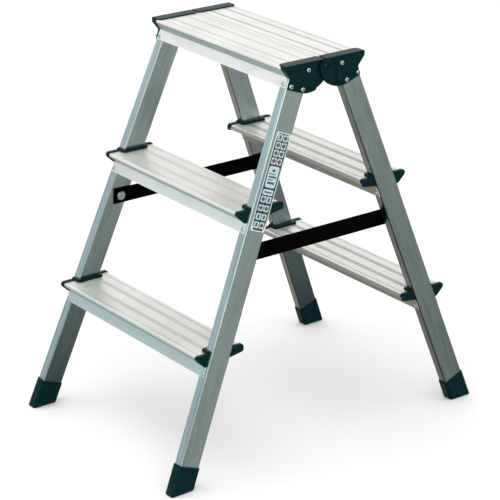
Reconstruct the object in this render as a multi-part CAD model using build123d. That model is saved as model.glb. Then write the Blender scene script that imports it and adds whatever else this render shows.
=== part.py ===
"""Double-sided folding step ladder: two mirrored aluminium frames hinged under a split platform.

Millimetres, +Z up. The origin is on the floor at the centre of the footprint, X runs across the
treads and the frames open along Y. Every piece is drawn in the quarter with +X (right) and +Y
(rear), then mirrored to its other places.
"""
from build123d import *
from math import cos, radians, tan
import os

# Overall sizes
platform_height = 700.0
platform_depth = 172.0
width_at_top = 363.0            # over the outer faces of the stiles, at platform height
lean_angle = 21.6               # of each frame from the vertical, seen from the side
splay_angle = 3.4               # of each stile from the vertical, seen from the front

# Stiles: rectangular box extrusions with two grooves in each narrow face
stile_width = 18.0
stile_depth = 40.5
stile_wall = 1.5
stile_corner = 2.0
stile_groove_width = 1.0
stile_groove_depth = 0.4
stile_groove_inset = 3.0

# Treads and platform halves: extrusions whose two skirts hug the stiles
tread_rises = [1 / 3, 2 / 3]    # deck heights as shares of the platform height
tread_wall = 1.8
nose_overhang = 26.5            # from the stile's outer narrow face to the tread's nose, at the deck
lip_overhang = 24.0             # the same towards the inside of the ladder
platform_nose_overhang = 21.0
nose_edge = 5.0                 # height of the blunt nose
nose_drop = 20.0                # the slanted face under the nose meets the skirt here
lip_edge = 9.0
lip_drop = 13.0
skirt_drop = 37.0
nose_round = 2.2
skirt_inset = 3.0               # the skirts stop short of the stiles' outer faces
platform_gap = 0.6              # between the two platform halves
notch_gap = 0.4                 # round each stile where it passes a deck
band_offset = 15.3              # of the ribbed bands from the middle of the deck
tread_band = dict(count=5, pitch=2.1, width=1.1, depth=0.5)
platform_band = dict(count=3, pitch=2.0, width=1.0, depth=0.5)
edge_groove_inset = 9.3
edge_groove = dict(count=1, pitch=0.0, width=1.3, depth=0.8)
drill_line = (0.9, 0.35)        # width and depth of the groove along each skirt at its rivets

# End caps of the treads
cap_wall = 2.5
collar_side = 7.0
collar_front = 4.5
collar_back = 6.0
collar_height = 5.0
collar_round = 5.0
collar_top_round = 1.8
arm_width = 7.5                 # of the rim that laps over the deck and round the nose
rim_proud = 2.2                 # of the cap from the tread's outline
rim_round = 1.3
plug_length = 9.0
plug_gap = 0.15
fit_gap = 0.05

# Foot caps
foot_wall = 2.4
foot_height = 47.0
foot_sole = 4.0
foot_chamfer = 1.6
foot_corner = 3.0               # radius at the upright corners, less the wall
foot_groove_width = 2.0
foot_groove_depth = 1.2
foot_groove_count = 4
foot_groove_pitch = 9.0

# Hinge plates: two moulded plates a side, the front one's lobe inside the rear one's
pivot_drop = 11.0               # below the platform's deck
hinge_inset = 0.2               # of the plates' inner side from the stiles' outer faces at the deck
hinge_thickness = 7.7
layer_gap = 0.3                 # between the two lobes
lobe_radius = 10.7
lobe_split = 19.0               # the plates have their full thickness beyond this, from the middle
flange_height = 2.2
flange_width = 21.5
flange_gap = 1.6                # from the middle of the ladder
flange_inner_round = 3.0
flange_round = 8.0
root_size = 2.0                 # of the web that joins a flange to its plate
plate_round = 1.0
recess_radius = 8.4
recess_depth = 1.0
cusp_drop = 37.5                # below the deck, where the two plates' lower edges meet
belly_drops = (46.8, 51.5, 51.2, 49.0)      # of the lower edge, from the middle outwards
belly_reaches = (14.0, 34.0, 42.0, 50.0)
plate_corners = [(39.5, 3.0), (28.0, 2.0), (22.5, 1.0)]     # below the deck, in from the nose side
nose_clearance = 1.5            # of the plate's upper corner under the platform's blunt nose
web_middle = (7.6, 25.5)        # the lobe's web: past the middle, below the deck
rib_top = (-21.8, 8.0, 5.0)     # out from the stile's middle, below the deck, radius
rib_foot = (-29.9, 40.0, 8.6)
rib_rise = 3.0

# Rivets and pins
rivet_shank = 4.8
hole_gap = 0.1                  # on the diameter
tread_rivet_head = (9.0, 1.3)   # diameter, height
hinge_rivet_head = (8.4, 1.7)
mandrel_hole = (3.4, 1.0)       # diameter, depth
bulb_shares = (0.7, 0.5)        # radius and length of the blind side, in shank diameters
hinge_grip_slack = 0.6
dome_share = 0.85               # of a head's height that is rounded
tread_rivet_drop = 31.5
hinge_rivets = [(12.0, -11.8), (34.5, 16.0), (43.5, -12.6)]     # below the deck, out from the axis
pin_radius = 3.0
pin_head = (4.2, 1.6)           # radius, height
pin_inner_head = (5.5, 1.8)
pin_clearance = 1.0             # of the platform's end walls round the inner head
running_gap = 0.05

# Spreader straps and their large-headed rivets
strap_height = 384.5
strap_width = 30.0
strap_thickness = 1.6
strap_gap = 0.25                # from the stiles
strap_end = 9.0                 # past the stile's axis
strap_rivet_offset = -4.0       # from the stile's axis, towards the inside of the ladder
strap_rivet_shank = 6.0
strap_rivet_head = (17.5, 2.2)
strap_hole_gap = 0.8

# Blank label on the right front stile
label_size = (32.0, 171.0, 0.25)
label_height = 508.5
label_offset = -2.5
label_corner = 3.0

# Worked out from the above
lean = tan(radians(lean_angle))
splay = tan(radians(splay_angle))
flat_depth = stile_depth / cos(radians(lean_angle))
skirt = tread_wall / cos(radians(lean_angle))
platform_nose = platform_depth / 2
nose_face_at_top = platform_nose - platform_nose_overhang
hinge_inner_x = width_at_top / 2 - hinge_inset
hinge_outer_x = hinge_inner_x + hinge_thickness
layer_mid_x = hinge_inner_x + hinge_thickness / 2
pivot_z = platform_height - pivot_drop
reach = 2 * platform_height     # longer than anything here, for cutting


def nose_face(z):
    """Distance from the middle of the ladder to a stile's outer narrow face at height z."""
    return nose_face_at_top + (platform_height - z) * lean


def back_face(z):
    """The same to a stile's inner narrow face."""
    return nose_face(z) - flat_depth


def outer_x(z):
    """Distance from the middle to a stile's outer side at height z, on its axis."""
    return width_at_top / 2 + (platform_height - z) * splay


def stile_frame():
    """Plane across the right rear stile at platform height: Z up its axis, Y towards the outside."""
    axis = Vector(-splay, -lean, 1).normalized()
    across = (Vector(1, 0, 0) - axis * axis.X).normalized()
    middle = nose_face_at_top - flat_depth / 2
    centre = Vector(width_at_top / 2 - stile_width / 2, middle, platform_height)
    return Plane(origin=centre, x_dir=across, z_dir=axis)


stile_plane = stile_frame()


def on_stile(z, across=0.0, out=0.0):
    """Point of height z that lies a distance across the stile's axis and out along its depth."""
    side = stile_plane.x_dir * across + stile_plane.y_dir * out
    along = (z - platform_height - side.Z) / stile_plane.z_dir.Z
    return stile_plane.origin + side + stile_plane.z_dir * along


def between_heights(low, high):
    """Slab between two heights."""
    return Pos(0, 0, (low + high) / 2) * Box(2 * reach, 2 * reach, high - low)


def stile_bar(grow=0.0, corner=stile_corner):
    """Endless solid bar along the stile, its section grown by an amount on every side."""
    section = RectangleRounded(stile_width + 2 * grow, stile_depth + 2 * grow, corner + grow)
    return extrude(stile_plane * section, amount=reach, both=True)


def between_ends(inset):
    """Wedge between the planes that follow the stiles' outer sides, moved inwards by an inset."""
    low, high = 0.0, 2 * platform_height
    wide, narrow = outer_x(low) - inset, outer_x(high) - inset
    outline = Polyline((-wide, low), (wide, low), (narrow, high), (-narrow, high), close=True)
    return extrude(Plane.XZ * make_face(outline), amount=reach, both=True)


def profile(*points):
    """Closed outline through (distance out, height) points."""
    return make_face(Polyline(*points, close=True))


def side_slab(face, low_x, high_x):
    """Solid between two X values with an outline given as (distance out, height)."""
    return extrude(Plane.YZ.offset(low_x) * face, amount=high_x - low_x)


def x_cylinder(radius, low_x, high_x, out, z):
    """Cylinder along X."""
    return side_slab(Pos(out, z) * Circle(radius), low_x, high_x)


def single(shape, name):
    """The shape as one solid."""
    solids = shape.solids()
    if len(solids) != 1:
        raise ValueError(f"{name} came out as {len(solids)} solids")
    return solids[0]


def nose_box(z, nose):
    """Outline of the hollow nose of a tread whose deck is at height z."""
    face = profile(
        (nose_face(z), z),
        (nose, z),
        (nose, z - nose_edge),
        (nose_face(z - nose_drop) + skirt, z - nose_drop),
        (nose_face(z - nose_drop), z - nose_drop),
    )
    corners = face.vertices().filter_by(lambda v: abs(v.X - nose) < 1e-6)
    return fillet(corners, nose_round)


def lip_box(z, lip):
    """Outline of the hollow inner lip."""
    face = profile(
        (back_face(z), z),
        (lip, z),
        (lip, z - lip_edge),
        (back_face(z - lip_drop) - skirt, z - lip_drop),
        (back_face(z - lip_drop), z - lip_drop),
    )
    corners = face.vertices().filter_by(lambda v: abs(v.X - lip) < 1e-6)
    return fillet(corners, nose_round)


def chamber(box, wall=tread_wall):
    """The hollow inside a box of the section."""
    return offset(box, amount=-wall, kind=Kind.INTERSECTION)


def deck_grooves(z, middle, spec):
    """Outlines of a band of anti-slip grooves about a place on the deck."""
    first = middle - (spec["count"] - 1) / 2 * spec["pitch"]
    places = [first + spec["pitch"] * i for i in range(spec["count"])]
    return [Pos(v, z) * Rectangle(spec["width"], 2 * spec["depth"]) for v in places]


def tread_section(z, nose, lip, band):
    """Section of a tread or platform half: nose, deck, lip and the two skirts."""
    foot = z - skirt_drop
    under = z - tread_wall
    deck = profile((back_face(z), z), (nose_face(z), z), (nose_face(under), under), (back_face(under), under))
    nose_skirt = profile(
        (nose_face(z), z), (nose_face(z) + skirt, z), (nose_face(foot) + skirt, foot), (nose_face(foot), foot)
    )
    lip_skirt = profile(
        (back_face(z) - skirt, z), (back_face(z), z), (back_face(foot), foot), (back_face(foot) - skirt, foot)
    )
    section = nose_box(z, nose) + lip_box(z, lip) + deck + nose_skirt + lip_skirt
    section -= chamber(nose_box(z, nose)) + chamber(lip_box(z, lip))
    middle = (nose + lip) / 2
    grooves = deck_grooves(z, middle - band_offset, band) + deck_grooves(z, middle + band_offset, band)
    grooves += deck_grooves(z, nose - edge_groove_inset, edge_groove)
    grooves += deck_grooves(z, lip + edge_groove_inset, edge_groove)
    line = z - tread_rivet_drop
    for out in (nose_face(line) + skirt, back_face(line) - skirt):
        grooves.append(Pos(out, line) * Rot(0, 0, lean_angle) * Rectangle(2 * drill_line[1], drill_line[0]))
    for groove in grooves:
        section -= groove
    return section


def tread(z, nose, lip, band, stile_top):
    """Whole tread from side to side, notched round the stiles that pass its deck."""
    bar = side_slab(tread_section(z, nose, lip, band), -reach, reach)
    skirts = between_heights(0, z - nose_drop)
    body = bar & (between_ends(skirt_inset + cap_wall) + (between_ends(skirt_inset) & skirts))
    if stile_top > z:
        notch = stile_bar(notch_gap) & between_heights(z - tread_wall - notch_gap, z + notch_gap)
        body -= notch + mirror(notch, about=Plane.YZ)
    planes = rivet_planes(z)
    for plane in planes + [mirrored_plane(plane) for plane in planes]:
        body -= rivet_hole(plane, rivet_shank)
    return single(body, "tread")


def cap_outline(z, nose, lip):
    """Outline round the nose, the deck and the lip of a tread, without its skirts."""
    face = profile(
        (nose, z),
        (nose, z - nose_edge),
        (nose_face(z - nose_drop) + skirt, z - nose_drop),
        (back_face(z - lip_drop) - skirt, z - lip_drop),
        (lip, z - lip_edge),
        (lip, z),
    )
    return fillet(face.vertices().filter_by(lambda v: not lip + fit_gap < v.X < nose - fit_gap), nose_round)


def end_cap(z, nose, lip):
    """Moulded cap on the right end of a tread: collar round the stile, rim over the deck, plugged walls."""
    end = outer_x(z) - skirt_inset
    inner = outer_x(z) - stile_width - collar_side
    far, near = nose_face(z) + collar_front, back_face(z) - collar_back
    collar = Pos((inner + reach) / 2, (far + near) / 2, z + collar_height / 2) * Box(
        reach - inner, far - near, collar_height
    )
    upright = collar.edges().filter_by(Axis.Z).group_by(Axis.X)[0]
    collar = fillet(upright, collar_round)
    collar = fillet(collar.faces().sort_by(Axis.Z)[-1].edges(), collar_top_round)
    outline = cap_outline(z, nose, lip)
    proud = offset(outline, amount=rim_proud)
    rim = side_slab(proud - outline, end - arm_width, reach)
    rim &= between_heights(z - nose_edge, z + collar_height)
    inner_edges = rim.edges().group_by(Axis.X)[0]
    rim = fillet(inner_edges.filter_by(lambda e: e.center().Z > z + rim_proud / 2), rim_round)
    ends = between_ends(skirt_inset) - between_ends(skirt_inset + cap_wall)
    walls = side_slab(proud, 0, reach) & between_heights(z - nose_drop, z + collar_height)
    plug_zone = between_ends(skirt_inset) - between_ends(skirt_inset + cap_wall + plug_length)
    plug_wall = tread_wall + plug_gap
    plugs = side_slab(chamber(nose_box(z, nose), plug_wall), 0, reach)
    plugs += side_slab(chamber(lip_box(z, lip), plug_wall), 0, reach)
    top = (collar + rim) & between_ends(skirt_inset)
    return single(top + (walls & ends) + (plugs & plug_zone) - stile_bar(fit_gap), "end cap")


def mirrored_plane(plane):
    """The same plane on the left side."""
    origin, normal = plane.origin, plane.z_dir
    return Plane(origin=(-origin.X, origin.Y, origin.Z), z_dir=(-normal.X, normal.Y, normal.Z))


def rivet_planes(z):
    """Where a tread's skirts are riveted to the right stile: Z points out of the skirt."""
    height = z - tread_rivet_drop
    step = stile_depth / 2 + tread_wall
    outward = stile_plane.y_dir
    return [
        Plane(origin=on_stile(height, 0, step), z_dir=outward),
        Plane(origin=on_stile(height, 0, -step), z_dir=outward * -1),
    ]


def rivet_hole(plane, diameter):
    """Through hole for a rivet shank, well past both walls."""
    return plane * Cylinder((diameter + hole_gap) / 2, 2 * (hinge_thickness + 2 * stile_wall + tread_wall))


def rivet(plane, grip, shank, head):
    """Blind rivet on a surface: domed head with the mandrel hole, shank and the bulb behind the grip."""
    bottom = (Align.CENTER, Align.CENTER, Align.MIN)
    top = (Align.CENTER, Align.CENTER, Align.MAX)
    dome = Cylinder(head[0] / 2, head[1], align=bottom)
    dome = fillet(dome.edges().sort_by(Axis.Z)[-1], head[1] * dome_share)
    body = dome + Cylinder(shank / 2, grip + shank * bulb_shares[1] / 2, align=top)
    bulb = Pos(0, 0, -grip - fit_gap) * Cylinder(shank * bulb_shares[0], shank * bulb_shares[1], align=top)
    body += fillet(bulb.edges().filter_by(GeomType.CIRCLE), shank * bulb_shares[1] / 3)
    body -= Pos(0, 0, head[1]) * Cylinder(mandrel_hole[0] / 2, 2 * mandrel_hole[1])
    return single(plane * body, "rivet")


def tread_rivets():
    """All rivets through the skirts of one frame."""
    grip = tread_wall + stile_wall
    planes = [plane for z in deck_heights for plane in rivet_planes(z)]
    planes += [mirrored_plane(plane) for plane in planes]
    return [rivet(plane, grip, rivet_shank, tread_rivet_head) for plane in planes]


def hinge_rivet_planes():
    """Where the right hinge plate is riveted to the stile: Z points along +X, out of the plate."""
    planes = []
    for drop, out in hinge_rivets:
        z = platform_height - drop
        middle = nose_face(z) - flat_depth / 2
        planes.append(Plane(origin=(hinge_outer_x, middle + out, z), z_dir=(1, 0, 0)))
    return planes


def hinge_rivet_set():
    """Three rivets through the right plate and their mirrors."""
    made = []
    for plane in hinge_rivet_planes():
        grip = hinge_outer_x - outer_x(plane.origin.Z) + stile_wall + hinge_grip_slack
        made.append(rivet(plane, grip, rivet_shank, hinge_rivet_head))
    return made + [mirror(one, about=Plane.YZ) for one in made]


def stile():
    """Right rear stile with its rivet holes."""
    hollow = RectangleRounded(stile_width - 2 * stile_wall, stile_depth - 2 * stile_wall, stile_corner / 2)
    tube = stile_bar() - extrude(stile_plane * hollow, amount=reach, both=True)
    groove_x = stile_width / 2 - stile_groove_inset
    for across in (-groove_x, groove_x):
        for out in (-stile_depth / 2, stile_depth / 2):
            groove = Pos(across, out) * Rectangle(stile_groove_width, 2 * stile_groove_depth)
            tube -= extrude(stile_plane * groove, amount=reach, both=True)
    tube &= between_heights(foot_sole + fit_gap, platform_height - tread_wall - fit_gap)
    for z in deck_heights:
        for plane in rivet_planes(z):
            tube -= rivet_hole(plane, rivet_shank)
    for plane in hinge_rivet_planes():
        tube -= rivet_hole(plane, rivet_shank)
    tube -= rivet_hole(strap_rivet_plane(), strap_rivet_shank)
    return single(tube, "stile")


def foot():
    """Moulded cap over the stile's lower end, flat on the floor, with grooves across its sole."""
    block = stile_bar(foot_wall, foot_corner)
    top_z = foot_height * stile_plane.z_dir.Z
    cut = Plane(origin=on_stile(top_z), x_dir=stile_plane.x_dir, z_dir=stile_plane.z_dir)
    block &= extrude(cut * Rectangle(reach, reach), amount=-reach)
    block &= between_heights(0, reach)
    sole = block.faces().sort_by(Axis.Z)[0]
    block = chamfer(sole.edges(), foot_chamfer)
    block -= stile_bar(fit_gap) & between_heights(foot_sole, reach)
    centre = on_stile(0)
    for i in range(foot_groove_count):
        y = centre.Y + (i - (foot_groove_count - 1) / 2) * foot_groove_pitch
        block -= Pos(centre.X, y, 0) * Box(4 * stile_width, foot_groove_width, 2 * foot_groove_depth)
    return single(block, "foot")


def plate_outline():
    """Outline of a hinge plate from the middle to the nose, with the rounded lower edge."""
    top = platform_height
    cusp = (0, top - cusp_drop)
    belly, low, rise, heel = [(out, top - drop) for out, drop in zip(belly_reaches, belly_drops)]
    corners = [(nose_face(top - drop) - inset, top - drop) for drop, inset in plate_corners]
    under_nose = (platform_nose, top - nose_edge - nose_clearance)
    edge = Polyline(*corners, under_nose, (platform_nose, top), (0, top), cusp)
    lower = [ThreePointArc(cusp, belly, low), ThreePointArc(low, rise, heel), Line(heel, corners[0])]
    return make_face(Curve() + [edge, *lower])


def lobe_outline():
    """The part of a plate that reaches past the middle: a disc round the pivot and a web below it."""
    top = platform_height
    disc = Pos(0, pivot_z) * Circle(lobe_radius)
    cusp, side = (0, top - cusp_drop), (-lobe_radius, pivot_z)
    bend = ThreePointArc(cusp, (-web_middle[0], top - web_middle[1]), side)
    web = make_face(Curve() + [Line((0, pivot_z), cusp), bend, Line(side, (0, pivot_z))])
    return disc + web


def moulded_rib(high_x):
    """Tapered half-round rib on the outside of a plate, with a ball end at its foot."""
    ends = []
    for out, drop, radius in (rib_top, rib_foot):
        z = platform_height - drop
        ends.append(Vector(high_x + rib_rise - radius, nose_face(z) - flat_depth / 2 + out, z))
    (head, base), top_radius, foot_radius = ends, rib_top[2], rib_foot[2]
    taper = Cone(foot_radius, top_radius, (head - base).length, align=(Align.CENTER, Align.CENTER, Align.MIN))
    rib = Plane(origin=base, z_dir=head - base) * taper + Pos(*base) * Sphere(foot_radius)
    rib += Pos(*head) * Sphere(top_radius)
    keep = side_slab(plate_outline(), layer_mid_x, high_x + 2 * rib_rise)
    return rib & keep & (Pos(high_x, lobe_split + reach / 2, platform_height) * Box(reach, reach, 2 * reach))


def hinge_plate(outer_lobe):
    """Right rear hinge plate, with its lobe in the outer or in the inner layer."""
    if outer_lobe:
        layer = (layer_mid_x + layer_gap / 2, hinge_outer_x)
    else:
        layer = (hinge_inner_x, layer_mid_x - layer_gap / 2)
    full = Pos(lobe_split + reach / 2, 0) * Rectangle(reach, 2 * reach)
    plate = side_slab(plate_outline() & full, hinge_inner_x, hinge_outer_x)
    plate += side_slab(plate_outline() + lobe_outline(), *layer)
    plate += moulded_rib(hinge_outer_x)
    flange_x = hinge_outer_x - flange_width
    flange_y = (flange_gap + platform_nose) / 2
    flange = Pos((flange_x + hinge_outer_x) / 2, flange_y, platform_height + flange_height / 2) * Box(
        flange_width, platform_nose - flange_gap, flange_height
    )
    for place, radius in ((0, flange_inner_round), (-1, flange_round)):
        uprights = flange.edges().filter_by(Axis.Z).group_by(Axis.X)[0].sort_by(Axis.Y)
        flange = fillet(uprights[place], radius)
    flange = fillet(flange.faces().sort_by(Axis.Z)[-1].edges(), plate_round)
    root = Pos(layer[1] - root_size / 2, flange_y, platform_height) * Box(
        root_size, platform_nose - flange_gap, root_size
    )
    plate += flange + root
    z, lip = platform_height, platform_gap / 2
    walls = side_slab(nose_box(z, platform_nose) + lip_box(z, lip), flange_x, hinge_inner_x + fit_gap)
    walls -= between_ends(skirt_inset + cap_wall - fit_gap)
    walls -= x_cylinder(pin_inner_head[0] + pin_clearance, 0, reach, 0, pivot_z)
    if outer_lobe:
        other_lobe = profile((-reach, 0), (lobe_split, 0), (lobe_split, reach), (-reach, reach))
        walls -= side_slab(other_lobe, hinge_inner_x - layer_gap, reach)
    plate += walls
    plate -= stile_bar(fit_gap) & between_heights(0, platform_height - tread_wall)
    for plane in hinge_rivet_planes():
        plate -= rivet_hole(plane, rivet_shank)
    pin_hole = pin_radius + (running_gap if outer_lobe else 0)
    plate -= x_cylinder(pin_hole, 0, reach, 0, pivot_z)
    if outer_lobe:
        plate -= x_cylinder(recess_radius, hinge_outer_x - recess_depth, reach, 0, pivot_z)
    return single(plate, "hinge plate")


def hinge_pin():
    """Right pivot rivet through both lobes, with a head in the outer recess and one formed inside."""
    floor = hinge_outer_x - recess_depth + running_gap
    outer = Plane(origin=(floor, 0, pivot_z), z_dir=(1, 0, 0)) * Cylinder(
        pin_head[0], pin_head[1], align=(Align.CENTER, Align.CENTER, Align.MIN)
    )
    outer = fillet(outer.edges().sort_by(Axis.X)[-1], pin_head[1] * dome_share)
    inner = x_cylinder(pin_inner_head[0], hinge_inner_x - pin_inner_head[1], hinge_inner_x, 0, pivot_z)
    inner = chamfer(inner.edges().filter_by(GeomType.CIRCLE).sort_by(Axis.X)[0], pin_inner_head[1] / 3)
    shank = x_cylinder(pin_radius, hinge_inner_x - pin_inner_head[1] / 2, floor + pin_head[1] / 2, 0, pivot_z)
    return single(outer + inner + shank, "hinge pin")


def strap_rivet_plane():
    """On the right rear stile's inner side at the strap: Z points into the ladder."""
    origin = on_stile(strap_height, -stile_width / 2, strap_rivet_offset)
    return Plane(origin=origin, z_dir=stile_plane.x_dir * -1)


def strap_seat():
    """Plane of the strap's side that faces the stiles, clear of both; its Z points into the ladder."""
    nearest = on_stile(strap_height, -stile_width / 2, -stile_depth / 2)
    origin = Vector(nearest.X - strap_gap, 0, strap_height)
    return Plane(origin=origin, x_dir=(0, 1, 0), z_dir=(-1, 0, -splay))


def strap():
    """Right spreader strap, taut between the front and the rear stile."""
    half = on_stile(strap_height).Y + strap_end
    seat = strap_seat()
    body = extrude(seat * Rectangle(2 * half, strap_width), amount=strap_thickness)
    plane = strap_rivet_plane()
    hole = plane * Cylinder((strap_rivet_shank + strap_hole_gap) / 2, 2 * stile_width)
    return single(body - hole - mirror(hole, about=Plane.XZ), "strap")


def strap_rivets():
    """The rear stiles' two large-headed rivets, heads clear of the strap by a running gap."""
    plane = strap_rivet_plane()
    seat = strap_seat().offset(strap_thickness + 2 * running_gap)
    lift = abs((seat.origin - plane.origin).dot(plane.z_dir)) + abs(plane.origin.Y * stile_plane.x_dir.Y)
    right = rivet(plane.offset(lift), lift + stile_wall, strap_rivet_shank, strap_rivet_head)
    return [right, mirror(right, about=Plane.YZ)]


def label():
    """Blank self-adhesive label on the outer side of the right rear stile, mirrored to the front."""
    centre = on_stile(label_height, stile_width / 2, label_offset)
    plane = Plane(origin=centre, x_dir=stile_plane.y_dir, z_dir=stile_plane.x_dir)
    width, height, thickness = label_size
    return single(extrude(plane * RectangleRounded(width, height, label_corner), amount=thickness), "label")


tread_heights = [share * platform_height for share in tread_rises]
deck_heights = tread_heights + [platform_height]
stile_end = platform_height - tread_wall
nodes = {}


def place(name, shape, frame):
    """Store a piece of a frame; shapes are drawn for the rear one and mirrored for the front one."""
    solids = shape if isinstance(shape, list) else [shape]
    if frame == "front":
        solids = [mirror(one, about=Plane.XZ) for one in solids]
    nodes[f"{frame}_{name}"] = solids


def place_pair(name, shape, frame):
    """Store a right piece and its mirror on the left."""
    place(f"{name}_right", shape, frame)
    place(f"{name}_left", mirror(shape, about=Plane.YZ), frame)


stile_shape = stile()
foot_shape = foot()
rivet_shapes = tread_rivets()
for frame in ("front", "rear"):
    place_pair("stile", stile_shape, frame)
    place_pair("foot", foot_shape, frame)
    place_pair("hinge_plate", hinge_plate(outer_lobe=frame == "rear"), frame)
    place("tread_rivets", rivet_shapes, frame)
    place("hinge_rivets", hinge_rivet_set(), frame)
    place("strap_rivets", strap_rivets(), frame)

for name, z in zip(("lower", "middle"), tread_heights):
    nose, lip = nose_face(z) + nose_overhang, back_face(z) - lip_overhang
    tread_shape = tread(z, nose, lip, tread_band, stile_end)
    cap_shape = end_cap(z, nose, lip)
    for frame in ("front", "rear"):
        place(f"tread_{name}", tread_shape, frame)
        place_pair(f"cap_{name}", cap_shape, frame)

half_platform = tread(platform_height, platform_nose, platform_gap / 2, platform_band, stile_end)
for frame in ("front", "rear"):
    place("platform", half_platform, frame)

pin = hinge_pin()
nodes["hinge_pin_right"] = [pin]
nodes["hinge_pin_left"] = [mirror(pin, about=Plane.YZ)]
strap_shape = strap()
nodes["spread_strap_right"] = [strap_shape]
nodes["spread_strap_left"] = [mirror(strap_shape, about=Plane.YZ)]
nodes["label"] = [mirror(label(), about=Plane.XZ)]

os.makedirs("parts", exist_ok=True)
for name, solids in nodes.items():
    shape = solids[0] if len(solids) == 1 else Compound(children=solids)
    export_step(shape, f"parts/{name}.step")
print(f"{len(nodes)} nodes, platform {platform_height:.0f} mm high")
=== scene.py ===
import math
import bmesh
import bpy
from mathutils import Matrix, Vector


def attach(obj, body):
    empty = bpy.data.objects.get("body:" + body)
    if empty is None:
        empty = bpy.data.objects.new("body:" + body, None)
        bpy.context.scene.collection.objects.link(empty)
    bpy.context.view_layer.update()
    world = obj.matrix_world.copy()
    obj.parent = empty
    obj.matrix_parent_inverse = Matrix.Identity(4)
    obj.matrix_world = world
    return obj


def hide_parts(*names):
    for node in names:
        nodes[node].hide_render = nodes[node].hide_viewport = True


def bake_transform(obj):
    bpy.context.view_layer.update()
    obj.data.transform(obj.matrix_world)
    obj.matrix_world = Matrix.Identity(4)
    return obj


# Double-sided folding step ladder: extruded aluminium treads and stiles, black moulded fittings,
# webbing spreader straps. Metres, in the frame of the CAD model.

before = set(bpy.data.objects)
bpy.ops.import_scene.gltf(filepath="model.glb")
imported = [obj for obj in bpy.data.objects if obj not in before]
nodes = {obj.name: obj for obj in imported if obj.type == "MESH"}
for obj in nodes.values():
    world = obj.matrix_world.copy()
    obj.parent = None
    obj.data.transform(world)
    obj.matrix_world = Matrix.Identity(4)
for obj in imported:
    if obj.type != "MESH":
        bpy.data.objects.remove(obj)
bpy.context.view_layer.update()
scene = bpy.context.scene
mm = 0.001
print("frame loaded:", len(nodes), "nodes")

# The few sizes of the ladder that the added pieces need, as in the CAD model. A hinge rivet's two
# numbers are its depth below the deck and how far out it is from the middle of the stile's depth, in mm
ladder = {
    "deck": 700 * mm, "widthAtTop": 363 * mm, "lean": math.radians(21.6), "splay": math.radians(3.4),
    "stileWidth": 18 * mm, "stileDepth": 40.5 * mm, "noseFaceAtTop": 65 * mm, "treadWall": 1.8 * mm,
    "skirtDrop": 31.5 * mm, "hingeOuterX": 189 * mm, "hingeRivets": [(12, -11.8), (34.5, 16), (43.5, -12.6)],
    "strapHeight": 384.5 * mm, "strapRivetOut": -4 * mm, "labelHeight": 508.5 * mm, "labelOut": -2.5 * mm,
}
lean, splay = math.tan(ladder["lean"]), math.tan(ladder["splay"])
flatDepth = ladder["stileDepth"] / math.cos(ladder["lean"])
# Axes of the right rear stile: along it, across its width and out along its depth
stileAxis = Vector((-splay, -lean, 1)).normalized()
stileAcross = (Vector((1, 0, 0)) - stileAxis * stileAxis.x).normalized()
stileOut = stileAxis.cross(stileAcross)
stileTop = Vector((
    (ladder["widthAtTop"] - ladder["stileWidth"]) / 2, ladder["noseFaceAtTop"] - flatDepth / 2, ladder["deck"]
))
stileTurn = Matrix((stileAcross, stileOut, stileAxis)).transposed()


def onStile(z, across=0.0, out=0.0):
    side = stileAcross * across + stileOut * out
    return stileTop + side + stileAxis * ((z - ladder["deck"] - side.z) / stileAxis.z)


# Camera
cameraValues = {
    "place": (2.8255, -2.2300, 1.7309), "turn": 51.80, "tip": -21.715, "roll": 0.756,
    "lens": 154.8, "sensor": 36.0,
}


def makeCamera(values):
    data = bpy.data.cameras.new("camera")
    data.lens, data.sensor_width = values["lens"], values["sensor"]
    data.clip_start, data.clip_end = 0.1, 100
    holder = bpy.data.objects.new("camera", data)
    turns = [(values["turn"], "Z"), (90 + values["tip"], "X"), (values["roll"], "Z")]
    placed = Matrix.Translation(values["place"])
    for angle, axis in turns:
        placed = placed @ Matrix.Rotation(math.radians(angle), 4, axis)
    scene.collection.objects.link(holder)
    holder.matrix_world = placed
    scene.camera = holder


makeCamera(cameraValues)


# Helpers for materials
def linear(hexColour):
    parts = [int(hexColour[i:i + 2], 16) / 255 for i in (1, 3, 5)]
    return (*[p / 12.92 if p <= 0.04045 else ((p + 0.055) / 1.055) ** 2.4 for p in parts], 1.0)


def addNode(tree, kind, links=None, **settings):
    node = tree.nodes.new(kind)
    for name, value in settings.items():
        setattr(node, name, value)
    for name, value in (links or {}).items():
        if isinstance(value, bpy.types.NodeSocket):
            tree.links.new(value, node.inputs[name])
        else:
            node.inputs[name].default_value = value
    return node


def newMaterial(name, shader):
    material = bpy.data.materials.new(name)
    material.use_nodes = True
    tree = material.node_tree
    bsdf = tree.nodes["Principled BSDF"]
    for socket, value in shader.items():
        bsdf.inputs[socket].default_value = value
    return material, tree, bsdf


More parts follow.
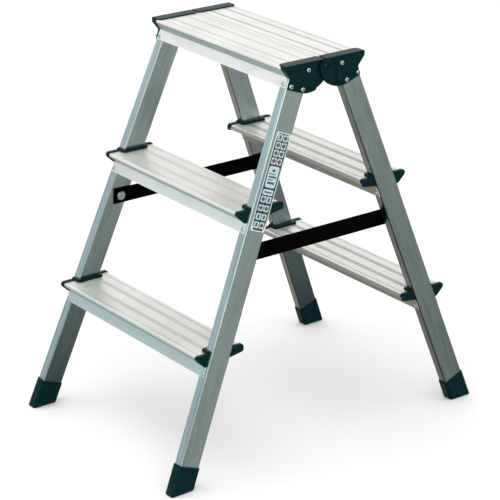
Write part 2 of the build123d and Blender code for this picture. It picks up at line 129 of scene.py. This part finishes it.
# World and lights: a bright studio that falls away below the horizon, with soft cards and flags
# that the metal mirrors, and two big soft lamps
studio = {
    "below": "#3F4749", "strength": 1.0, "lampsAimAt": (0, 0, 0.35),
    "floor": ("#FCFCFB", "#FFFFFE"), "floorHalf": 12.0, "floorDrop": 0.5 * mm,
    "rises": [
        # colour, heights where it starts and where it is full
        ("#D6DCDC", -0.55, -0.08),
        ("#FFFFFE", -0.12, 0.14),
    ],
    "cards": [
        # direction, cosines where it fades in, colour
        ((-0.73, -0.67, 0.10), (0.72, 0.95), "#E3EEF0"),
        ((-0.73, 0.43, -0.53), (0.80, 0.97), "#8FA3A6"),
        ((-0.73, -0.17, -0.66), (0.85, 0.98), "#B9ADA0"),
        ((0.80, 0.55, -0.26), (0.92, 0.98), "#FFFFF2"),
        ((0.60, 0.76, -0.30), (0.93, 0.995), "#7E8482"),
    ],
    "lights": [
        # name, place, size, watts, colour
        ("softboxOverhead", (-0.6, -1.2, 3.4), 2.6, 22, "#FFFDF8"),
        ("softboxFront", (3.0, -1.9, 1.5), 2.4, 30, "#FFFFFF"),
    ],
}


def makeStudio(values):
    world = bpy.data.worlds.new("studio")
    world.use_nodes = True
    tree = world.node_tree
    tree.nodes.clear()
    look = addNode(tree, "ShaderNodeTexCoord").outputs["Generated"]
    height = addNode(tree, "ShaderNodeSeparateXYZ", {0: look}).outputs["Z"]
    colour = linear(values["below"])
    for shade, low, high in values["rises"]:
        rise = addNode(tree, "ShaderNodeMapRange", {
            "Value": height, "From Min": low, "From Max": high,
        }, interpolation_type="SMOOTHSTEP")
        colour = addNode(tree, "ShaderNodeMix", {
            "Factor": rise.outputs[0], 6: colour, 7: linear(shade),
        }, data_type="RGBA").outputs[2]
    for direction, (faint, full), shade in values["cards"]:
        near = addNode(tree, "ShaderNodeVectorMath", {
            0: look, 1: Vector(direction).normalized(),
        }, operation="DOT_PRODUCT")
        fade = addNode(tree, "ShaderNodeMapRange", {
            "Value": near.outputs["Value"], "From Min": faint, "From Max": full,
        }, interpolation_type="SMOOTHSTEP")
        colour = addNode(tree, "ShaderNodeMix", {
            "Factor": fade.outputs[0], 6: colour, 7: linear(shade),
        }, data_type="RGBA").outputs[2]
    back = addNode(tree, "ShaderNodeBackground", {"Color": colour, "Strength": values["strength"]})
    addNode(tree, "ShaderNodeOutputWorld", {"Surface": back.outputs[0]})
    scene.world = world
    for name, place, size, watts, colour in values["lights"]:
        data = bpy.data.lights.new(name, "AREA")
        data.shape, data.size, data.energy = "DISK", size, watts
        data.color = linear(colour)[:3]
        light = bpy.data.objects.new(name, data)
        light.location = place
        light.rotation_euler = (Vector(place) - Vector(values["lampsAimAt"])).to_track_quat("Z", "Y").to_euler()
        scene.collection.objects.link(light)
    material, tree, bsdf = newMaterial("paperFloor", {"Roughness": 0.9, "Specular IOR Level": 0.1})
    fibre = addNode(tree, "ShaderNodeTexNoise", {
        "Vector": addNode(tree, "ShaderNodeTexCoord").outputs["Object"], "Scale": 3.0, "Detail": 2.0,
    })
    tone = addNode(tree, "ShaderNodeMix", {
        "Factor": fibre.outputs["Fac"], 6: linear(values["floor"][0]), 7: linear(values["floor"][1]),
    }, data_type="RGBA")
    tree.links.new(tone.outputs[2], bsdf.inputs["Base Color"])
    mesh = bpy.data.meshes.new("floor")
    half = values["floorHalf"]
    corners = [(-half, -half, 0), (half, -half, 0), (half, half, 0), (-half, half, 0)]
    mesh.from_pydata(corners, [], [(0, 1, 2, 3)])
    mesh.materials.append(material)
    floor = bpy.data.objects.new("floor", mesh)
    floor.location.z = -values["floorDrop"]
    # The metal mirrors the studio below the horizon rather than this sheet
    floor.visible_glossy = False
    scene.collection.objects.link(floor)
    scene.view_settings.view_transform = "Standard"


makeStudio(studio)
print("camera and studio ready")


# Materials
# Every finish mixes two tones and two roughnesses by a pattern and raises a fine bump
def dress(tree, bsdf, values, toneBy, roughBy, bumpBy):
    tones, (smooth, rough) = values["tones"], values["roughness"]
    colour = addNode(tree, "ShaderNodeMix", {
        "Factor": toneBy, 6: linear(tones[0]), 7: linear(tones[1]),
    }, data_type="RGBA")
    roughness = addNode(tree, "ShaderNodeMapRange", {"Value": roughBy, "To Min": smooth, "To Max": rough})
    bump = addNode(tree, "ShaderNodeBump", {
        "Height": bumpBy, "Strength": values["bump"], "Distance": values["bumpMm"] * mm,
    })
    tree.links.new(colour.outputs[2], bsdf.inputs["Base Color"])
    tree.links.new(roughness.outputs[0], bsdf.inputs["Roughness"])
    tree.links.new(bump.outputs["Normal"], bsdf.inputs["Normal"])
    return colour.outputs[2], bump


# Lays a shade over the tone of a finish, where both shares hold
def layOver(tree, bsdf, colour, shares, shade):
    both = addNode(tree, "ShaderNodeMath", {0: shares[0], 1: shares[1]}, operation="MULTIPLY")
    shaded = addNode(tree, "ShaderNodeMix", {
        "Factor": both.outputs[0], 6: colour, 7: linear(shade),
    }, data_type="RGBA")
    tree.links.new(shaded.outputs[2], bsdf.inputs["Base Color"])
    return shaded.outputs[2]


# Mill-finish aluminium, the stiles: straight from the die, so fine drawn lines run along each one
# and it mirrors the room in long soft streaks, with dull cloudy patches of oxide. The lines are
# several times as wide as real ones, which would be too fine to show
stileMetal = {
    "name": "millFinishAluminium", "tones": ("#BAC7C8", "#ABB9BB"), "roughness": (0.28, 0.36), "bump": 0.35,
    "bumpMm": 0.05, "lineMm": 0.5, "runMm": 160, "cloud": (11, 90), "cloudLimits": (0.36, 0.66), "waveMm": 52,
    "waveRise": 0.16, "shade": "#46555A", "shadeFromMm": 640, "shadeOutside": 0.26, "innerSideMm": (-8.2, -8.9),
}
# The right rear one is a darker, greyer copy of the same finish: painted shade on that stile
rearStileShadedMetal = {**stileMetal, "name": "millFinishAluminiumDull", "tones": ("#9FAAAD", "#8C9798")}


def millFinish(values):
    material, tree, bsdf = newMaterial(values["name"], {"Metallic": 1.0})
    place = addNode(tree, "ShaderNodeTexCoord").outputs["Object"]
    # All four stiles fold onto the right rear one, whose axes the pattern then follows
    quarter = addNode(tree, "ShaderNodeVectorMath", {0: place}, operation="ABSOLUTE").outputs["Vector"]

    def inStile(wide, long):
        return addNode(tree, "ShaderNodeMapping", {
            "Vector": quarter, "Location": stileTop, "Rotation": stileTurn.to_euler(),
            "Scale": Vector((wide, wide, long)) * mm,
        }, vector_type="TEXTURE").outputs["Vector"]

    def streaks(wide, long):
        return addNode(tree, "ShaderNodeTexNoise", {
            "Vector": inStile(wide, long), "Scale": 1.0, "Detail": 3.0,
        }).outputs["Fac"]

    patchFrom, patchTo = values["cloudLimits"]
    patches = addNode(tree, "ShaderNodeMapRange", {
        "Value": streaks(*values["cloud"]), "From Min": patchFrom, "From Max": patchTo,
    }).outputs[0]
    colour, fine = dress(tree, bsdf, values, patches, patches, streaks(values["lineMm"], values["runMm"]))
    # A darker tone towards the foot, strongest on the inner side, for the shade between the frames
    across = addNode(tree, "ShaderNodeSeparateXYZ", {0: inStile(1, 1)}).outputs["X"]
    innerFrom, innerTo = values["innerSideMm"]
    inside = addNode(tree, "ShaderNodeMapRange", {
        "Value": across, "From Min": innerFrom, "From Max": innerTo, "To Min": values["shadeOutside"],
    })
    height = addNode(tree, "ShaderNodeSeparateXYZ", {0: place}).outputs["Z"]
    low = addNode(tree, "ShaderNodeMapRange", {
        "Value": height, "From Min": values["shadeFromMm"] * mm, "From Max": 0.0,
    })
    layOver(tree, bsdf, colour, (inside.outputs[0], low.outputs[0]), values["shade"])
    # The walls are never quite flat, which breaks up what they mirror
    swell = addNode(tree, "ShaderNodeTexNoise", {
        "Vector": place, "Scale": 1 / (values["waveMm"] * mm), "Detail": 1.0, "Roughness": 0.6,
    })
    wave = addNode(tree, "ShaderNodeBump", {
        "Height": swell.outputs["Fac"], "Strength": 1.0, "Distance": values["waveRise"] * mm,
    })
    tree.links.new(wave.outputs["Normal"], fine.inputs["Normal"])
    return material


# Satin etched aluminium, the treads: paler and whiter than the stiles, with soft drawn lines from
# side to side, widened like the stiles', faint cloudy patches, and painted shade laid on in greyer
# tones. The etch scatters most of the light, so only part of what it gives back is a mirror's
treadMetal = {
    "name": "satinEtchedAluminium", "tones": ("#EAEAE5", "#DFDFDA"), "roughness": (0.26, 0.34), "bump": 0.16,
    "bumpMm": 0.05, "mirror": 0.45, "lineMm": 0.8, "runMm": 240, "cloudMm": 60, "cloudLimits": (0.42, 0.72),
    "limits": {
        # where each starts, where it is full, and its share there
        "upright": (0.8, 0.5, 1.0), "low": (520 * mm, 150 * mm, 1.0), "under": (-0.15, -0.4, 0.85),
        "inward": (-0.3, -0.7, 0.7),
    },
    "shades": {"low": "#A6B8B9", "under": "#7E9393", "inward": "#7B766C"},
}


def satinEtched(values):
    material, tree, bsdf = newMaterial(values["name"], {"Metallic": values["mirror"]})
    coordinates = addNode(tree, "ShaderNodeTexCoord").outputs
    place, line = coordinates["Object"], values["lineMm"] * mm
    along = addNode(tree, "ShaderNodeMapping", {
        "Vector": place, "Scale": (values["runMm"] * mm, line, line),
    }, vector_type="TEXTURE").outputs["Vector"]
    lines = addNode(tree, "ShaderNodeTexNoise", {"Vector": along, "Scale": 1.0, "Detail": 3.0}).outputs["Fac"]
    cloud = addNode(tree, "ShaderNodeTexNoise", {
        "Vector": place, "Scale": 1 / (values["cloudMm"] * mm), "Detail": 4.0, "Roughness": 0.6,
    })
    patchFrom, patchTo = values["cloudLimits"]
    patches = addNode(tree, "ShaderNodeMapRange", {
        "Value": cloud.outputs["Fac"], "From Min": patchFrom, "From Max": patchTo,
    })
    colour, _ = dress(tree, bsdf, values, patches.outputs[0], lines, lines)
    # Greyer tones, for the shade between the frames: on the skirts near the floor, on what faces
    # down, and on the skirts that face into the ladder
    spot = addNode(tree, "ShaderNodeSeparateXYZ", {0: place}).outputs
    facing = addNode(tree, "ShaderNodeSeparateXYZ", {0: coordinates["Normal"]}).outputs
    frameSide = addNode(tree, "ShaderNodeMath", {0: spot["Y"]}, operation="SIGN").outputs[0]
    inward = addNode(tree, "ShaderNodeMath", {0: facing["Y"], 1: frameSide}, operation="MULTIPLY").outputs[0]
    measures = {"upright": facing["Z"], "low": spot["Z"], "under": facing["Z"], "inward": inward}
    shares = {}
    for name, measure in measures.items():
        start, full, most = values["limits"][name]
        shares[name] = addNode(tree, "ShaderNodeMapRange", {
            "Value": measure, "From Min": start, "From Max": full, "To Max": most,
        }).outputs[0]
    for name, also in (("low", shares["upright"]), ("under", 1.0), ("inward", shares["upright"])):
        colour = layOver(tree, bsdf, colour, (shares[name], also), values["shades"][name])
    return material


# Grained finishes: a fine bump all over and a slower haze in the tone

# Moulded polypropylene, the caps, feet and hinge plates: near black with a cool green cast, a soft
# shine along its ribs and the leathery grain of the mould
plastic = {
    "name": "mouldedPolypropylene", "tones": ("#02171A", "#051F21"), "roughness": (0.32, 0.42), "bump": 0.25,
    "bumpMm": 0.05, "grainMm": 0.8, "hazeMm": 9, "shader": {
        "IOR": 1.49, "Specular IOR Level": 0.18, "Specular Tint": linear("#6CE7ED"),
    },
}
# Woven polyester, the straps: dead black with almost no shine, the threads give it a tooth
webbing = {
    "name": "wovenPolyester", "tones": ("#010101", "#040404"), "roughness": (0.85, 0.95), "bump": 0.5,
    "bumpMm": 0.08, "grainMm": 0.45, "hazeMm": 4, "shader": {"Specular IOR Level": 0.03},
}
# Printed film, the label: smooth and slightly glossy, ink laid a little unevenly
film = {
    "name": "printedFilmWhite", "tones": ("#CFDADA", "#C2CDCD"), "roughness": (0.3, 0.36), "bump": 0.06,
    "bumpMm": 0.02, "grainMm": 0.5, "hazeMm": 3, "shader": {"Specular IOR Level": 0.4},
}
inks = {
    "field": {**film, "name": "printedFilmDark", "tones": ("#1A2D32", "#24393E")},
    "cell": {**film, "name": "printedFilmPale", "tones": ("#B7CDD2", "#A6BEC4")},
    "red": {**film, "name": "printedFilmRed", "tones": ("#9A2F3C", "#822530")},
    "grey": {**film, "name": "printedFilmGrey", "tones": ("#48565A", "#39474B")},
}
# Formed metals, the rivets and pins: bright where the tool set the head, finely scuffed, and
# duller on the straps' rivets
rivetMetal = {
    "name": "setAluminiumRivet", "tones": ("#EDEDEA", "#C4C4C0"), "roughness": (0.2, 0.34), "bump": 0.2,
    "bumpMm": 0.05, "grainMm": 0.7, "hazeMm": 1.5, "shader": {"Metallic": 1.0},
}
strapRivetMetal = {**rivetMetal, "name": "setAluminiumRivetDull", "tones": ("#B4BDBE", "#8B9496")}
pinMetal = {**rivetMetal, "name": "darkZincSteel", "tones": ("#33474A", "#263638"), "roughness": (0.28, 0.45)}
mandrelMetal = {**rivetMetal, "name": "snappedSteelMandrel", "tones": ("#6A6E70", "#3C3F41"), "bump": 0.6}


def grained(values):
    material, tree, bsdf = newMaterial(values["name"], values["shader"])
    place = addNode(tree, "ShaderNodeTexCoord").outputs["Object"]
    haze = addNode(tree, "ShaderNodeTexNoise", {
        "Vector": place, "Scale": 1 / (values["hazeMm"] * mm), "Detail": 3.0, "Roughness": 0.6,
    }).outputs["Fac"]
    grain = addNode(tree, "ShaderNodeTexVoronoi", {
        "Vector": place, "Scale": 1 / (values["grainMm"] * mm),
    }, feature="SMOOTH_F1")
    dress(tree, bsdf, values, haze, haze, grain.outputs["Distance"])
    return material


finishes = {
    "stile": millFinish(stileMetal), "rearStileShaded": millFinish(rearStileShadedMetal), "tread": satinEtched(treadMetal),
    "plastic": grained(plastic), "webbing": grained(webbing), "film": grained(film),
    "rivet": grained(rivetMetal), "strapRivet": grained(strapRivetMetal), "pin": grained(pinMetal),
    "mandrel": grained(mandrelMetal),
    **{name: grained(values) for name, values in inks.items()},
}
print("materials ready")

# The first word found in a node's name picks its finish
finishWords = [
    ("strap_rivets", "strapRivet"), ("rivets", "rivet"), ("rear_stile_right", "rearStileShaded"), ("stile", "stile"),
    ("cap", "plastic"), ("tread", "tread"), ("platform", "tread"), ("pin", "pin"), ("strap", "webbing"),
    ("label", "film"),
]
for name, node in nodes.items():
    found = [finish for word, finish in finishWords if word in name]
    finish = finishes[found[0] if found else "plastic"]
    if not node.material_slots:
        node.data.materials.append(finish)
    for slot in node.material_slots:
        slot.material = finish


# Pieces grown with Geometry Nodes
sharpAngle = math.radians(35)
copySeed = 7


def newTree(name, inputs):
    tree = bpy.data.node_groups.new(name, "GeometryNodeTree")
    tree.interface.new_socket("Geometry", in_out="INPUT", socket_type="NodeSocketGeometry")
    for label, kind in inputs:
        tree.interface.new_socket(label, in_out="INPUT", socket_type="NodeSocket" + kind)
    tree.interface.new_socket("Geometry", in_out="OUTPUT", socket_type="NodeSocketGeometry")
    return tree, addNode(tree, "NodeGroupInput").outputs


def endTree(tree, geometry, finish):
    whole = addNode(tree, "GeometryNodeRealizeInstances", {"Geometry": geometry})
    coated = addNode(tree, "GeometryNodeSetMaterial", {"Geometry": whole.outputs[0], "Material": finish})
    addNode(tree, "NodeGroupOutput", {"Geometry": coated.outputs[0]})
    return tree


def grow(name, mesh, tree, inputs, place=Matrix.Identity(4)):
    seed = bpy.data.objects.new(name + "Seed", mesh)
    scene.collection.objects.link(seed)
    modifier = seed.modifiers.new("grow", "NODES")
    modifier.node_group = tree
    for item in tree.interface.items_tree:
        if item.name in inputs:
            modifier[item.identifier] = inputs[item.name]
    shape = bpy.data.meshes.new_from_object(seed.evaluated_get(bpy.context.evaluated_depsgraph_get()))
    bpy.data.objects.remove(seed)
    shape.transform(place)
    tidied = bmesh.new()
    tidied.from_mesh(shape)
    bmesh.ops.recalc_face_normals(tidied, faces=tidied.faces)
    tidied.to_mesh(shape)
    tidied.free()
    shape.polygons.foreach_set("use_smooth", [True] * len(shape.polygons))
    shape.set_sharp_from_angle(angle=sharpAngle)
    shape.name = name
    piece = bpy.data.objects.new(name, shape)
    scene.collection.objects.link(piece)
    return piece


# Closed piece from an outline, drawn at several heights and sizes
def prism(name, outline, heights, shares):
    count = len(outline)
    points = [(x * share, y * share, z) for z, share in zip(heights, shares) for x, y in outline]
    faces = [list(range(count))[::-1], list(range(count * (len(heights) - 1), count * len(heights)))]
    for ring in range(len(heights) - 1):
        base = ring * count
        faces += [
            (base + i, base + (i + 1) % count, base + count + (i + 1) % count, base + count + i)
            for i in range(count)
        ]
    mesh = bpy.data.meshes.new(name)
    mesh.from_pydata(points, [], faces)
    return mesh


def circle(radius, count):
    angles = [2 * math.pi * i / count for i in range(count)]
    return [(radius * math.cos(angle), radius * math.sin(angle)) for angle in angles]


# Copies of a small piece on points that hold the way each faces and its size
def copiesTree():
    tree, given = newTree("copiesOnPoints", [
        ("Piece", "Object"), ("Finish", "Material"), ("Wander", "Float"), ("Seed", "Int"),
    ])
    piece = addNode(tree, "GeometryNodeObjectInfo", {"Object": given["Piece"], "As Instance": True})
    facing = addNode(tree, "GeometryNodeInputNamedAttribute", {"Name": "facing"}, data_type="FLOAT_VECTOR")
    size = addNode(tree, "GeometryNodeInputNamedAttribute", {"Name": "size"}, data_type="FLOAT_VECTOR")
    turned = addNode(tree, "FunctionNodeAlignRotationToVector", {"Vector": facing.outputs[0]}, axis="Z")
    least = addNode(tree, "ShaderNodeMath", {0: 1.0, 1: given["Wander"]}, operation="SUBTRACT")
    chance = addNode(tree, "FunctionNodeRandomValue", {
        "Min": least.outputs[0], "Max": 1.0, "Seed": given["Seed"],
    }, data_type="FLOAT")
    scaled = addNode(tree, "ShaderNodeVectorMath", {0: size.outputs[0], "Scale": chance.outputs["Value"]},
                     operation="SCALE")
    placed = addNode(tree, "GeometryNodeInstanceOnPoints", {
        "Points": given["Geometry"], "Instance": piece.outputs["Geometry"], "Rotation": turned.outputs[0],
        "Scale": scaled.outputs[0],
    })
    return endTree(tree, placed.outputs[0], given["Finish"])


copiesOnPoints = copiesTree()


# Spots are the place, facing and size of each copy
def copies(name, spots, shape, finish, place=Matrix.Identity(4), wander=0.0):
    points = bpy.data.meshes.new(name + "Points")
    points.from_pydata([spot[0] for spot in spots], [], [])
    for label, column in (("facing", 1), ("size", 2)):
        attribute = points.attributes.new(label, "FLOAT_VECTOR", "POINT")
        attribute.data.foreach_set("vector", [value for spot in spots for value in spot[column]])
    stamp = bpy.data.objects.new(name + "Stamp", shape)
    piece = grow(name, points, copiesOnPoints, {
        "Piece": stamp, "Finish": finishes[finish], "Wander": wander, "Seed": copySeed,
    }, place)
    bpy.data.objects.remove(stamp)
    return piece


# Mandrel stubs: the snapped steel pin that stays in each blind rivet's hole, and makes its dark centre
stub = {
    "radius": 1.35 * mm, "height": 0.8 * mm, "sunk": 1.05 * mm, "count": 12, "shoulder": 0.75, "tip": 0.7,
    "wander": 0.1,
}
# How far each kind of rivet head stands out
heads = {"tread": 1.3 * mm, "hinge": 1.7 * mm, "strap": 2.2 * mm}


def stubSpots():
    spots = []
    inward = ladder["stileDepth"] / 2 + ladder["treadWall"]
    for rise in (1 / 3, 2 / 3, 1):
        for side in (-1, 1):
            seat = onStile(ladder["deck"] * rise - ladder["skirtDrop"], 0, side * inward)
            spots.append((seat, stileOut * side, heads["tread"]))
    for drop, out in ladder["hingeRivets"]:
        z = ladder["deck"] - drop * mm
        middle = ladder["noseFaceAtTop"] + drop * mm * lean - flatDepth / 2
        seat = Vector((ladder["hingeOuterX"], middle + out * mm, z))
        spots.append((seat, Vector((1, 0, 0)), heads["hinge"]))
    seat = onStile(ladder["strapHeight"], -ladder["stileWidth"] / 2, ladder["strapRivetOut"])
    lift = strapLift(seat) + strap["thickness"] + strap["headGap"]
    spots.append((seat - stileAcross * lift, stileAcross * -1, heads["strap"]))
    return [(seat + facing * (head - stub["sunk"]), facing) for seat, facing, head in spots]


# Spreader straps: flat woven bands, with chevron ribs that a Geometry Nodes tree raises on them
strap = {
    "width": 30 * mm, "thickness": 1.6 * mm, "gap": 0.25 * mm, "past": 9 * mm, "step": 0.6 * mm, "across": 15,
    "ribMm": 2.4, "ribSlant": 0.8, "ribRise": 0.09 * mm, "selvedge": 1.6 * mm, "selvedgeThick": 0.45,
    "selvedgeRise": 0.2, "hole": 3.5 * mm, "holeSides": 24, "headGap": 0.1 * mm, "bendFrom": 0.15,
}
strapSeat = onStile(ladder["strapHeight"], -ladder["stileWidth"] / 2, -ladder["stileDepth"] / 2)
strapSeat = Vector((strapSeat.x - strap["gap"], 0, ladder["strapHeight"]))
strapNormal = Vector((-1, 0, -splay)).normalized()
strapPlace = Matrix.Translation(strapSeat) @ Matrix((
    Vector((0, 1, 0)), strapNormal.cross(Vector((0, 1, 0))), strapNormal,
)).transposed().to_4x4()


def strapLift(seat):
    return (strapSeat - seat).dot(stileAcross * -1) + abs(seat.y * stileAcross.y)


def bandMesh():
    half = onStile(ladder["strapHeight"]).y + strap["past"]
    rings = round(2 * half / strap["step"])
    wide, thick = strap["width"] / 2 - strap["ribRise"], strap["thickness"] / 2 - strap["ribRise"]
    # The selvedges are thinner than the middle
    section = [
        (-wide + 2 * wide * i / strap["across"],
         thick * (strap["selvedgeThick"] if i in (0, strap["across"]) else 1))
        for i in range(strap["across"] + 1)
    ]
    loop = section + [(side, -rise) for side, rise in reversed(section)]
    points = [
        (-half + 2 * half * ring / rings, side, rise + strap["thickness"] / 2)
        for ring in range(rings + 1) for side, rise in loop
    ]
    count = len(loop)
    faces = [list(range(count)), list(range(rings * count, (rings + 1) * count))[::-1]]
    for ring in range(rings):
        base = ring * count
        faces += [
            (base + i, base + count + i, base + count + (i + 1) % count, base + (i + 1) % count)
            for i in range(count)
        ]
    mesh = bpy.data.meshes.new("band")
    mesh.from_pydata(points, [], faces)
    return mesh


def webbingTree():
    tree, given = newTree("wovenBand", [
        ("Rib Length", "Float"), ("Slant", "Float"), ("Rise", "Float"), ("Plain Edge From", "Float"),
        ("Plain Edge Rise", "Float"), ("Half Width", "Float"), ("Punch", "Object"), ("Finish", "Material"),
    ])
    spot = addNode(tree, "ShaderNodeSeparateXYZ", {0: addNode(tree, "GeometryNodeInputPosition").outputs[0]})
    side = addNode(tree, "ShaderNodeMath", {0: spot.outputs["Y"]}, operation="ABSOLUTE").outputs[0]
    slanted = addNode(tree, "ShaderNodeMath", {0: side, 1: given["Slant"], 2: spot.outputs["X"]},
                      operation="MULTIPLY_ADD")
    turns = addNode(tree, "ShaderNodeMath", {0: slanted.outputs[0], 1: given["Rib Length"]}, operation="DIVIDE")
    angle = addNode(tree, "ShaderNodeMath", {0: turns.outputs[0], 1: 2 * math.pi}, operation="MULTIPLY")
    ribs = addNode(tree, "ShaderNodeMath", {0: angle.outputs[0]}, operation="SINE")
    plain = addNode(tree, "ShaderNodeMapRange", {
        "Value": side, "From Min": given["Plain Edge From"], "From Max": given["Half Width"], "To Min": 1.0,
        "To Max": given["Plain Edge Rise"],
    })
    rise = addNode(tree, "ShaderNodeMath", {0: ribs.outputs[0], 1: plain.outputs[0]}, operation="MULTIPLY")
    raised = addNode(tree, "ShaderNodeMath", {0: rise.outputs[0], 1: given["Rise"]}, operation="MULTIPLY")
    offset = addNode(tree, "ShaderNodeVectorMath", {
        0: addNode(tree, "GeometryNodeInputNormal").outputs[0], "Scale": raised.outputs[0],
    }, operation="SCALE")
    woven = addNode(tree, "GeometryNodeSetPosition", {
        "Geometry": given["Geometry"], "Offset": offset.outputs[0],
    })
    punch = addNode(tree, "GeometryNodeObjectInfo", {"Object": given["Punch"]})
    punched = addNode(tree, "GeometryNodeMeshBoolean", {
        "Mesh 1": woven.outputs[0], "Mesh 2": punch.outputs["Geometry"],
    }, operation="DIFFERENCE", solver="EXACT")
    return endTree(tree, punched.outputs["Mesh"], given["Finish"])


def makeStraps():
    tree = webbingTree()
    rivetAt = onStile(ladder["strapHeight"], -ladder["stileWidth"] / 2, ladder["strapRivetOut"]).y
    hole = circle(strap["hole"], strap["holeSides"])
    ends = [[(x + rivetAt * end, y) for x, y in hole] for end in (-1, 1)]
    reach = (-strap["thickness"], 2 * strap["thickness"])
    joined = bmesh.new()
    for outline in ends:
        joined.from_mesh(prism("peg", outline, reach, (1, 1)))
    pegMesh = bpy.data.meshes.new("pegs")
    joined.to_mesh(pegMesh)
    joined.free()
    punch = bpy.data.objects.new("punch", pegMesh)
    scene.collection.objects.link(punch)
    for side, flip in (("right", Matrix.Identity(4)), ("left", Matrix.Scale(-1, 4, (1, 0, 0)))):
        piece = grow("strapWebbing_" + side, bandMesh(), tree, {
            "Rib Length": strap["ribMm"] * mm, "Slant": strap["ribSlant"], "Rise": strap["ribRise"],
            "Plain Edge From": strap["width"] / 2 - strap["selvedge"], "Plain Edge Rise": strap["selvedgeRise"],
            "Half Width": strap["width"] / 2, "Punch": punch, "Finish": finishes["webbing"],
        }, flip @ strapPlace)
        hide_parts("spread_strap_" + side)
        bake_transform(piece)
    bpy.data.objects.remove(punch)


def makeStubs():
    heights = (0, stub["shoulder"] * stub["height"], stub["height"])
    shape = prism("stub", circle(stub["radius"], stub["count"]), heights, (1, 1, stub["tip"]))
    quarters = {"front_frame": [(1, -1), (-1, -1)], "rear_frame": [(1, 1), (-1, 1)]}
    for body, flips in quarters.items():
        spots = []
        for x, y in flips:
            turn = Matrix.Diagonal((x, y, 1))
            spots += [(turn @ place, turn @ facing, (1, 1, 1)) for place, facing in stubSpots()]
        piece = copies("mandrels_" + body, spots, shape, "mandrel", wander=stub["wander"])
        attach(piece, body)


# Label: printed cells in a dark field on the film, with plain marks in place of any wording. Its
# sizes are in mm and its places are from its own middle
label = {
    "width": 32, "height": 171, "border": 1.7, "cell": (10.6, 11.2), "columns": (-6.2, 6.2), "lift": 0.2,
    "coat": 0.1, "layerStep": 0.6, "corner": [(0.5, 0.38), (0.46, 0.46), (0.38, 0.5)],
    # height of each row's middle, and the mark in its two cells
    "rows": [
        (76.5, ("grey", "red")), (63, ("red", "red")), (49.5, ("red", "red")), (36, ("red", "red")),
        (-30, ("red", "grey")), (-45, ("red", "red")), (-60, ("grey", "grey")), (-74.5, ("grey", "red")),
    ],
    # height of the middle, width, height
    "wide": [(9, 23, 37), (-17.5, 23, 9.5)],
    # place across, height of the middle, width, height
    "bars": [
        (0, 20, 7, 4), (-2, 14, 15, 1.8), (1, 9, 17, 3), (-3, 4, 12, 1.8), (0, -1.5, 16, 4), (0, -17.5, 17, 2.6),
    ],
    "red": (9.4, 9.4), "grey": (4.4, 7.2), "core": (3.2, 5.4),
}


def makeLabel():
    middle = onStile(ladder["labelHeight"], ladder["stileWidth"] / 2, ladder["labelOut"])
    flip = Matrix.Diagonal((1, -1, 1))
    up, out = flip @ stileAxis, flip @ stileAcross
    place = Matrix.Translation(flip @ middle) @ Matrix((up.cross(out), up, out)).transposed().to_4x4()
    # The same corner four times, read backwards where it is mirrored once
    cornered = [
        (x * flipX, y * flipY) for flipX, flipY in ((1, 1), (-1, 1), (-1, -1), (1, -1))
        for x, y in label["corner"][::flipX * flipY]
    ]
    tile = prism("tile", cornered, (0, 1), (1, 1))
    lozenge = prism("lozenge", circle(0.5, 4), (0, 1), (1, 1))
    coat, faces = label["coat"], (0, 0, 1)

    def spot(x, y, layer, width, height):
        seat = Vector((x, y, label["lift"] + layer * coat * label["layerStep"]))
        return (seat * mm, faces, Vector((width, height, coat)) * mm)

    inner = (label["width"] - 2 * label["border"], label["height"] - 2 * label["border"])
    cells = [spot(x, y, 1, *label["cell"]) for y, marks in label["rows"] for x in label["columns"]]
    cells += [spot(0, y, 1, width, height) for y, width, height in label["wide"]]
    marks = {"red": [], "grey": [spot(x, y, 2, width, height) for x, y, width, height in label["bars"]]}
    for y, pair in label["rows"]:
        for x, colour in zip(label["columns"], pair):
            marks[colour].append(spot(x, y, 2, *label[colour]))
            if colour == "red":
                marks["grey"].append(spot(x, y, 3, *label["core"]))
    for name, spots, shape, finish in (
        ("labelField", [spot(0, 0, 0, *inner)], tile, "field"), ("labelCells", cells, tile, "cell"),
        ("labelMarksRed", marks["red"], lozenge, "red"), ("labelMarksGrey", marks["grey"], tile, "grey"),
    ):
        piece = copies(name, spots, shape, finish, place)
        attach(piece, "front_frame")


makeStubs()
makeStraps()
makeLabel()
print("mandrels, straps and label made")

print("done")
